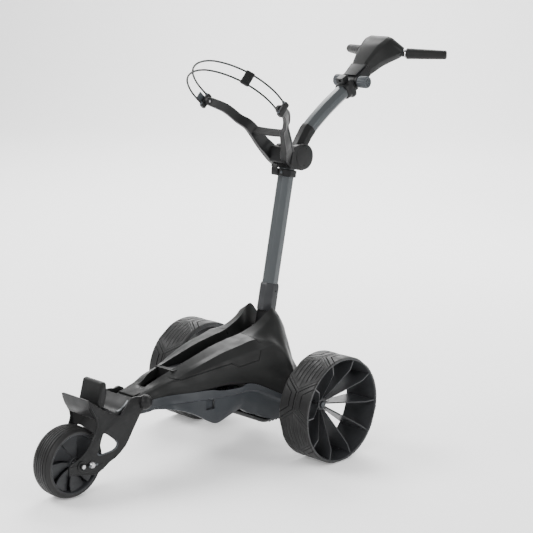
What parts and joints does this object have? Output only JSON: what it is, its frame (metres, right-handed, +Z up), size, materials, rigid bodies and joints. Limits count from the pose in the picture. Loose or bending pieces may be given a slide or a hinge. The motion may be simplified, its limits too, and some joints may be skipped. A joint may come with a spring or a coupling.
{
  "type": "electric golf trolley",
  "caption": "Three-wheeled electric golf trolley with dished rear drive wheels, a folding leaning column, a bag cradle with elastic strap loop, and a tilting console handle.",
  "frame": {"origin": "on the floor, midway between the left and right tyres and between the front tyre's nose and the grips' ends", "axes": "+X to the trolley's left as its user faces forward, -Y forward towards the front wheel, +Z up"},
  "size_m": [0.6, 1.3265, 1.0913],
  "materials": {
    "cover_black": "satin moulded",
    "tray_grey": "satin moulded",
    "black_plastic": "fine textured",
    "grey_plastic": "satin moulded",
    "rim_plastic": "satin moulded",
    "tyre_rubber": "matt rubber",
    "grip_rubber": "matt rubber",
    "graphite_metal": "satin graphite",
    "steel": "bright",
    "chrome": "polished",
    "display": "gloss",
    "battery": "textured",
    "elastic": "braided"
  },
  "bodies": {
    "chassis": {"chassis_cover": "cover_black", "chassis_tray": "tray_grey", "battery_bay": "black_plastic", "column_bracket": "graphite_metal", "column_pin": "steel", "motor_cover": "black_plastic", "controller_box": "black_plastic", "drive_motors": "steel", "gearboxes": "black_plastic", "fork_pivot_pin": "black_plastic", "nose_block": "black_plastic", "tray_screws": "steel"},
    "battery": {"battery_case": "battery"},
    "battery_grab": {"battery_handle": "grey_plastic"},
    "wheel_left": {"tyre_left": "tyre_rubber", "rim_left": "rim_plastic", "axle_left": "steel"},
    "wheel_right": {"tyre_right": "tyre_rubber", "rim_right": "rim_plastic", "axle_right": "steel"},
    "release_left": {"release_button_left": "black_plastic"},
    "release_right": {"release_button_right": "black_plastic"},
    "front_fork": {"fork": "black_plastic", "stop_block": "grey_plastic", "bag_saddle": "black_plastic", "front_axle": "steel"},
    "tracking": {"tracking_nut": "chrome"},
    "front_wheel": {"front_tyre": "tyre_rubber", "front_rim": "rim_plastic", "front_bearings": "steel"},
    "lower_column": {"column_knuckle": "black_plastic", "column_tube": "graphite_metal", "column_sleeve": "black_plastic", "column_clamp": "black_plastic", "hinge_housing": "black_plastic", "hinge_pin": "steel", "bag_cradle": "black_plastic"},
    "latch": {"mid_latch": "steel"},
    "bag_strap": {"strap_cord_upper": "elastic", "strap_cord_lower": "elastic", "strap_ends": "black_plastic", "strap_slider": "black_plastic"},
    "strap_lever": {"buckle_lever": "grey_plastic"},
    "upper_column": {"upper_knuckle": "black_plastic", "upper_tube": "graphite_metal", "shoulder_collar": "black_plastic", "accessory_bracket": "black_plastic"},
    "handle": {"handle_yoke": "black_plastic", "tilt_bolt": "steel", "console_shell": "cover_black", "console_face": "black_plastic", "display_glass": "display", "grip_left": "grip_rubber", "grip_right": "grip_rubber", "grip_rings": "chrome"},
    "knob_l": {"knob_left": "grey_plastic"},
    "knob_r": {"knob_right": "grey_plastic"},
    "dial": {"speed_dial": "grey_plastic"},
    "power": {"power_button": "grey_plastic"},
    "mode": {"mode_button": "grey_plastic"}
  },
  "joints": [
    {"name": "wheel_left_spin", "type": "hinge", "parent": "chassis", "child": "wheel_left", "pos_m": [0.25, 0.1, 0.142], "axis": [1, 0, 0], "continuous": true},
    {"name": "wheel_right_spin", "type": "hinge", "parent": "chassis", "child": "wheel_right", "pos_m": [-0.25, 0.1, 0.142], "axis": [1, 0, 0], "continuous": true},
    {"name": "front_wheel_spin", "type": "hinge", "parent": "front_fork", "child": "front_wheel", "pos_m": [0, -0.574, 0.0895], "axis": [1, 0, 0], "continuous": true},
    {"name": "release_left_press", "type": "slide", "parent": "wheel_left", "child": "release_left", "axis": [-1, 0, 0], "range_m": [0, 0.003], "stiffness_N_per_m": 600, "springref_m": -0.001},
    {"name": "release_right_press", "type": "slide", "parent": "wheel_right", "child": "release_right", "axis": [1, 0, 0], "range_m": [0, 0.003], "stiffness_N_per_m": 600, "springref_m": -0.001},
    {"name": "column_fold", "type": "hinge", "parent": "chassis", "child": "lower_column", "pos_m": [0, 0.108, 0.3], "axis": [1, 0, 0], "range_deg": [0, 100]},
    {"name": "front_fold", "type": "hinge", "parent": "chassis", "child": "front_fork", "pos_m": [0, -0.369, 0.207], "axis": [1, 0, 0], "range_deg": [0, 90]},
    {"name": "mid_fold", "type": "hinge", "parent": "lower_column", "child": "upper_column", "pos_m": [0, 0.21987, 0.77104], "axis": [1, 0, 0], "range_deg": [-115, 0]},
    {"name": "handle_tilt", "type": "hinge", "parent": "upper_column", "child": "handle", "pos_m": [0, 0.451, 0.964], "axis": [1, 0, 0], "range_deg": [-20, 25]},
    {"name": "knob_left_turn", "type": "hinge", "parent": "handle", "child": "knob_l", "pos_m": [0.045, 0.451, 0.964], "axis": [1, 0, 0], "range_deg": [-180, 180]},
    {"name": "knob_right_turn", "type": "hinge", "parent": "handle", "child": "knob_r", "pos_m": [-0.045, 0.451, 0.964], "axis": [1, 0, 0], "range_deg": [-180, 180]},
    {"name": "tracking_turn", "type": "hinge", "parent": "front_fork", "child": "tracking", "pos_m": [0.058, -0.543, 0.086], "axis": [1, 0, 0], "range_deg": [-90, 90]},
    {"name": "latch_lift", "type": "hinge", "parent": "lower_column", "child": "latch", "pos_m": [0, 0.13984, 0.72829], "axis": [1, 0, 0], "range_deg": [0, 50]},
    {"name": "strap_swing", "type": "hinge", "parent": "lower_column", "child": "bag_strap", "pos_m": [0, 0.01434, 0.91972], "axis": [1, 0, 0], "range_deg": [-120, 0]},
    {"name": "strap_lever_open", "type": "hinge", "parent": "bag_strap", "child": "strap_lever", "pos_m": [-0.1492, 0.02003, 0.91484], "axis": [0, 0.6508, 0.7593], "range_deg": [-60, 0]},
    {"name": "battery_lift", "type": "slide", "parent": "chassis", "child": "battery", "axis": [0, 0, -1], "range_m": [-0.09, 0]},
    {"name": "battery_handle_lift", "type": "hinge", "parent": "battery", "child": "battery_grab", "pos_m": [0, -0.188, 0.253], "axis": [-1, 0, 0], "range_deg": [-85, 0]},
    {"name": "dial_turn", "type": "hinge", "parent": "handle", "child": "dial", "pos_m": [0, 0.59649, 1.05418], "axis": [0, 0.7826, 0.6225], "continuous": true},
    {"name": "power_press", "type": "slide", "parent": "handle", "child": "power", "axis": [0, -0.7826, -0.6225], "range_m": [0, 0.002], "stiffness_N_per_m": 500, "springref_m": -0.001},
    {"name": "mode_press", "type": "slide", "parent": "handle", "child": "mode", "axis": [0, -0.7826, -0.6225], "range_m": [0, 0.002], "stiffness_N_per_m": 500, "springref_m": -0.001}
  ],
  "couplings": [
    {"joint": "front_fold", "follows": "column_fold", "ratio": 0.9},
    {"joint": "strap_swing", "follows": "column_fold", "ratio": -1.2}
  ]
}
